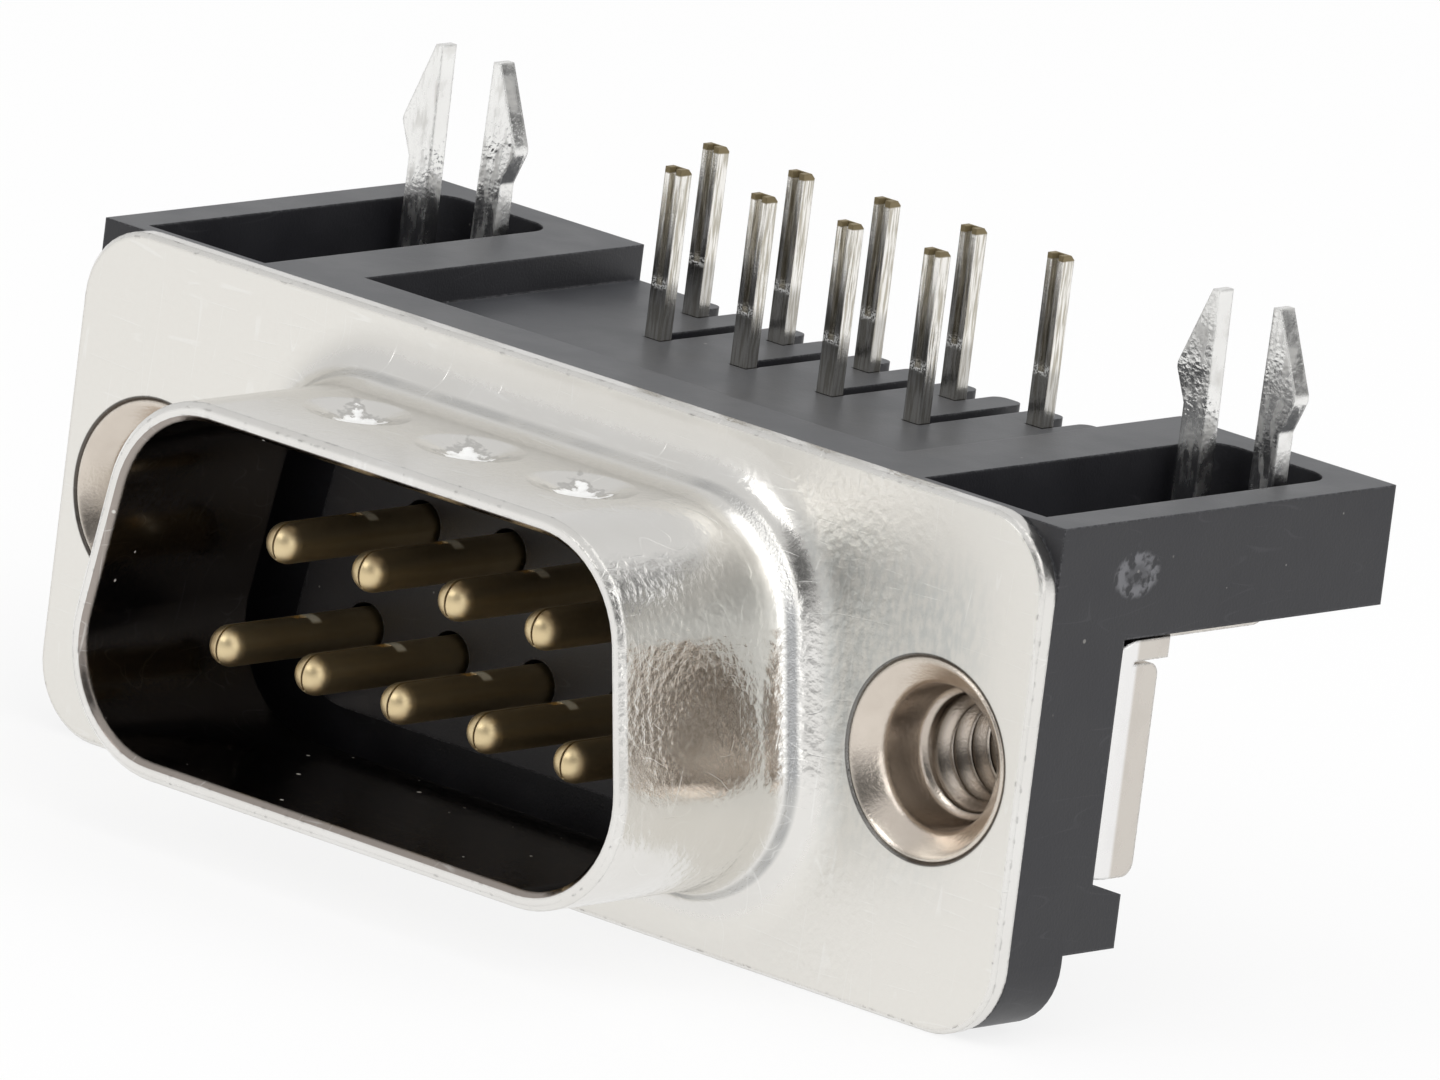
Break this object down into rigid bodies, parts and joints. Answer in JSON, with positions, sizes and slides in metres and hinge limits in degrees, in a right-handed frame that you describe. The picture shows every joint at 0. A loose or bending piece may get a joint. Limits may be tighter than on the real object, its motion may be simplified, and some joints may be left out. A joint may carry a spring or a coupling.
{
  "type": "right-angle d-sub plug",
  "caption": "Right-angle board-mount D-sub plug with a flanged keystone shell, round pins in two rows, threaded inserts, bent solder tails and harpoon board locks.",
  "frame": {"origin": "middle of the flange's front face, on the axis of the shroud", "axes": "-Y out of the shroud towards the mating connector, +Z towards the board that the tails go through, +X along the flange"},
  "size_m": [0.0308, 0.0184, 0.0165],
  "materials": {
    "shell_tin": "satin tin plate on drawn steel",
    "housing_black": "black glass-filled thermoplastic, semi-matte",
    "contact_metal": "thin gold flash on the pins, tin on the tails",
    "insert_nickel": "nickel plate, turned",
    "lock_tin": "bright tin plate on folded sheet"
  },
  "bodies": {
    "root": {"front_shell": "shell_tin", "insulator_housing": "housing_black", "contact_1": "contact_metal", "contact_2": "contact_metal", "contact_3": "contact_metal", "contact_4": "contact_metal", "contact_5": "contact_metal", "contact_6": "contact_metal", "contact_7": "contact_metal", "contact_8": "contact_metal", "contact_9": "contact_metal", "threaded_insert_left": "insert_nickel", "threaded_insert_right": "insert_nickel", "board_lock_left": "lock_tin", "board_lock_right": "lock_tin"}
  },
  "joints": []
}
